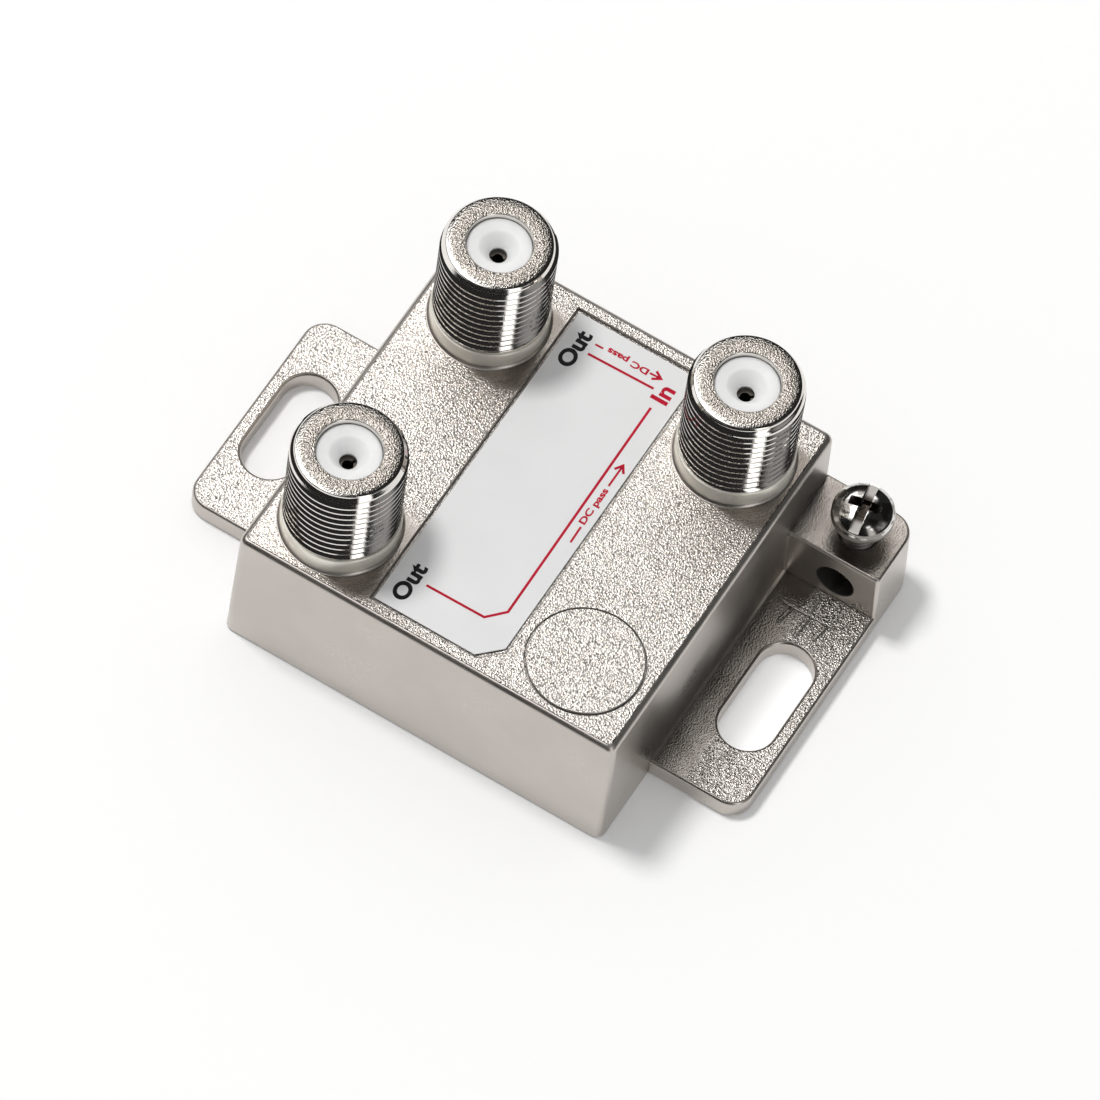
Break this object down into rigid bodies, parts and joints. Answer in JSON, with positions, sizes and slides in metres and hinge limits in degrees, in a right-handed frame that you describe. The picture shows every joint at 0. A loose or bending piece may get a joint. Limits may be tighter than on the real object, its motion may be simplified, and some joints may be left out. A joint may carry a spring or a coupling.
{
  "type": "rf tapper",
  "caption": "Small die-cast coaxial signal tap with threaded ports on top, slotted fixing ears and a clamp screw for an earth wire.",
  "frame": {"origin": "centre of the bounding box's bottom, on the rear face that lies on the wall", "axes": "+Z out of the ports, +X from the plain ear to the ear with the earth clamp, +Y towards the clamp's end"},
  "size_m": [0.0524, 0.0356, 0.0251],
  "materials": {
    "cast_nickel": "nickel-plated zinc casting: sand-grained faces, satin walls, bright threads",
    "tinned_sheet": "tinned sheet",
    "label_film": "satin printed film",
    "white_plastic": "satin moulded",
    "contact_metal": "plated spring bronze",
    "bright_screw": "bright nickel plate",
    "board_laminate": "solder resist",
    "ferrite": "matt sintered",
    "enamelled_wire": "enamelled copper",
    "capacitor_body": "matt ceramic with tinned ends",
    "resistor_body": "satin lacquer with tinned ends",
    "diode_glass": "glass body with tinned ends"
  },
  "bodies": {
    "tap_body": {"housing": "cast_nickel", "rear_cover": "tinned_sheet", "label": "label_film", "circuit_board": "board_laminate", "balance_resistor": "resistor_body", "output_a_insulator": "white_plastic", "output_a_contact": "contact_metal", "output_a_capacitor": "capacitor_body", "output_b_insulator": "white_plastic", "output_b_contact": "contact_metal", "output_b_capacitor": "capacitor_body", "input_insulator": "white_plastic", "input_contact": "contact_metal", "input_capacitor": "capacitor_body", "splitter_core": "ferrite", "splitter_winding": "enamelled_wire", "matching_core": "ferrite", "matching_winding": "enamelled_wire", "choke_a_core": "ferrite", "choke_a_coil": "enamelled_wire", "diode_a": "diode_glass", "choke_b_core": "ferrite", "choke_b_coil": "enamelled_wire", "diode_b": "diode_glass"},
    "clamp_screw": {"earth_screw": "bright_screw"}
  },
  "joints": [
    {"name": "earth_screw_travel", "type": "slide", "parent": "tap_body", "child": "clamp_screw", "axis": [0, 0, 1], "range_m": [-0.0024, 0.0025]}
  ]
}
